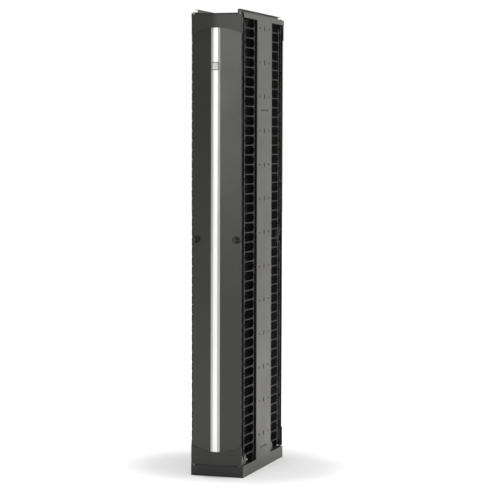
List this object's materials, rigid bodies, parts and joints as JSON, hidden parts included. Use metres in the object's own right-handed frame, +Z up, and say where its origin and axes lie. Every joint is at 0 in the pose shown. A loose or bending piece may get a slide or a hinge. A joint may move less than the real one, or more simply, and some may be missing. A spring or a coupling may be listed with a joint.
{
  "type": "vertical cable manager",
  "caption": "Tall free-standing double-sided vertical cable manager with slotted finger strips, hole-rowed spines, vented mid panel and dual-hinged ridged doors with turn-knob latches.",
  "frame": {"origin": "middle of the footprint on the floor", "axes": "+Z up, +X the width to the right seen from the front, -Y the front door, +Y the rear door"},
  "size_m": [0.254, 0.6778, 2.143],
  "materials": {
    "finger_plastic": "fine moulded, slightly satin black",
    "frame_black": "satin black powder coat",
    "spine_grey": "charcoal fine-texture powder coat",
    "bracket_grey": "light grey zinc-rich coat",
    "zinc_screws": "zinc plated",
    "bush_plastic": "natural acetal",
    "door_grey": "satin dark grey powder coat",
    "cap_grey": "satin dark grey powder coat",
    "trim_silver": "satin anodised",
    "guide_plastic": "black nylon",
    "latch_steel": "zinc plated steel",
    "knob_plastic": "black moulded",
    "rod_steel": "zinc plated flat bar"
  },
  "bodies": {
    "frame": {"base_pan": "frame_black", "left_side_frame": "spine_grey", "right_side_frame": "spine_grey", "top_pan": "frame_black", "left_top_rail": "spine_grey", "right_top_rail": "spine_grey", "mid_panel": "frame_black", "left_front_post": "frame_black", "right_front_post": "frame_black", "front_left_fingers_low": "finger_plastic", "front_left_fingers_mid": "finger_plastic", "front_left_fingers_top": "finger_plastic", "front_right_fingers_low": "finger_plastic", "front_right_fingers_mid": "finger_plastic", "front_right_fingers_top": "finger_plastic", "rear_left_fingers_low": "finger_plastic", "rear_left_fingers_mid": "finger_plastic", "rear_left_fingers_top": "finger_plastic", "rear_right_fingers_low": "finger_plastic", "rear_right_fingers_mid": "finger_plastic", "rear_right_fingers_top": "finger_plastic", "foot_brackets": "bracket_grey", "frame_screws": "zinc_screws", "strip_screws": "zinc_screws", "front_hinge_brackets": "spine_grey", "rear_hinge_brackets": "spine_grey", "hinge_bushes": "bush_plastic"},
    "front_door": {"front_door_skin": "door_grey", "front_door_top_cap": "cap_grey", "front_door_bottom_cap": "cap_grey", "front_door_trim": "trim_silver", "front_door_stiffener": "door_grey", "front_rod_guides": "guide_plastic", "front_latch_covers": "latch_steel", "front_latch_bezels": "knob_plastic"},
    "front_left_latch": {"front_left_knob": "knob_plastic", "front_left_pinion": "latch_steel"},
    "front_left_upper_rod": {"front_left_upper_rod": "rod_steel"},
    "front_left_lower_rod": {"front_left_lower_rod": "rod_steel"},
    "front_right_latch": {"front_right_knob": "knob_plastic", "front_right_pinion": "latch_steel"},
    "front_right_upper_rod": {"front_right_upper_rod": "rod_steel"},
    "front_right_lower_rod": {"front_right_lower_rod": "rod_steel"},
    "rear_door": {"rear_door_skin": "door_grey", "rear_door_top_cap": "cap_grey", "rear_door_bottom_cap": "cap_grey", "rear_door_trim": "trim_silver", "rear_door_stiffener": "door_grey", "rear_rod_guides": "guide_plastic", "rear_latch_covers": "latch_steel", "rear_latch_bezels": "knob_plastic"},
    "rear_left_latch": {"rear_left_knob": "knob_plastic", "rear_left_pinion": "latch_steel"},
    "rear_left_upper_rod": {"rear_left_upper_rod": "rod_steel"},
    "rear_left_lower_rod": {"rear_left_lower_rod": "rod_steel"},
    "rear_right_latch": {"rear_right_knob": "knob_plastic", "rear_right_pinion": "latch_steel"},
    "rear_right_upper_rod": {"rear_right_upper_rod": "rod_steel"},
    "rear_right_lower_rod": {"rear_right_lower_rod": "rod_steel"}
  },
  "joints": [
    {"name": "front_door_hinge", "type": "hinge", "parent": "frame", "child": "front_door", "pos_m": [-0.11, -0.3115, 0], "axis": [0, 0, 1], "range_deg": [-105, 0]},
    {"name": "front_left_knob_turn", "type": "hinge", "parent": "front_door", "child": "front_left_latch", "pos_m": [-0.0975, -0.3115, 1.094], "axis": [0, 1, 0], "range_deg": [-90, 0]},
    {"name": "front_left_upper_rod_slide", "type": "slide", "parent": "front_door", "child": "front_left_upper_rod", "axis": [0, 0, 1], "range_m": [-0.00707, 0]},
    {"name": "front_left_lower_rod_slide", "type": "slide", "parent": "front_door", "child": "front_left_lower_rod", "axis": [0, 0, 1], "range_m": [0, 0.00707]},
    {"name": "front_right_knob_turn", "type": "hinge", "parent": "front_door", "child": "front_right_latch", "pos_m": [0.0975, -0.3115, 1.094], "axis": [0, 1, 0], "range_deg": [-90, 0]},
    {"name": "front_right_upper_rod_slide", "type": "slide", "parent": "front_door", "child": "front_right_upper_rod", "axis": [0, 0, 1], "range_m": [0, 0.00707]},
    {"name": "front_right_lower_rod_slide", "type": "slide", "parent": "front_door", "child": "front_right_lower_rod", "axis": [0, 0, 1], "range_m": [-0.00707, 0]},
    {"name": "rear_door_hinge", "type": "hinge", "parent": "frame", "child": "rear_door", "pos_m": [0.11, 0.3115, 0], "axis": [0, 0, 1], "range_deg": [-105, 0]},
    {"name": "rear_left_knob_turn", "type": "hinge", "parent": "rear_door", "child": "rear_left_latch", "pos_m": [-0.0975, 0.3115, 1.094], "axis": [0, -1, 0], "range_deg": [-90, 0]},
    {"name": "rear_left_upper_rod_slide", "type": "slide", "parent": "rear_door", "child": "rear_left_upper_rod", "axis": [0, 0, 1], "range_m": [0, 0.00707]},
    {"name": "rear_left_lower_rod_slide", "type": "slide", "parent": "rear_door", "child": "rear_left_lower_rod", "axis": [0, 0, 1], "range_m": [-0.00707, 0]},
    {"name": "rear_right_knob_turn", "type": "hinge", "parent": "rear_door", "child": "rear_right_latch", "pos_m": [0.0975, 0.3115, 1.094], "axis": [0, -1, 0], "range_deg": [-90, 0]},
    {"name": "rear_right_upper_rod_slide", "type": "slide", "parent": "rear_door", "child": "rear_right_upper_rod", "axis": [0, 0, 1], "range_m": [-0.00707, 0]},
    {"name": "rear_right_lower_rod_slide", "type": "slide", "parent": "rear_door", "child": "rear_right_lower_rod", "axis": [0, 0, 1], "range_m": [0, 0.00707]}
  ],
  "couplings": [
    {"joint": "front_left_knob_turn", "follows": "front_left_upper_rod_slide", "rad_per_m": 222.22},
    {"joint": "front_left_lower_rod_slide", "follows": "front_left_upper_rod_slide", "ratio": -1},
    {"joint": "front_right_knob_turn", "follows": "front_right_upper_rod_slide", "rad_per_m": -222.22},
    {"joint": "front_right_lower_rod_slide", "follows": "front_right_upper_rod_slide", "ratio": -1},
    {"joint": "rear_left_knob_turn", "follows": "rear_left_upper_rod_slide", "rad_per_m": -222.22},
    {"joint": "rear_left_lower_rod_slide", "follows": "rear_left_upper_rod_slide", "ratio": -1},
    {"joint": "rear_right_knob_turn", "follows": "rear_right_upper_rod_slide", "rad_per_m": 222.22},
    {"joint": "rear_right_lower_rod_slide", "follows": "rear_right_upper_rod_slide", "ratio": -1}
  ]
}
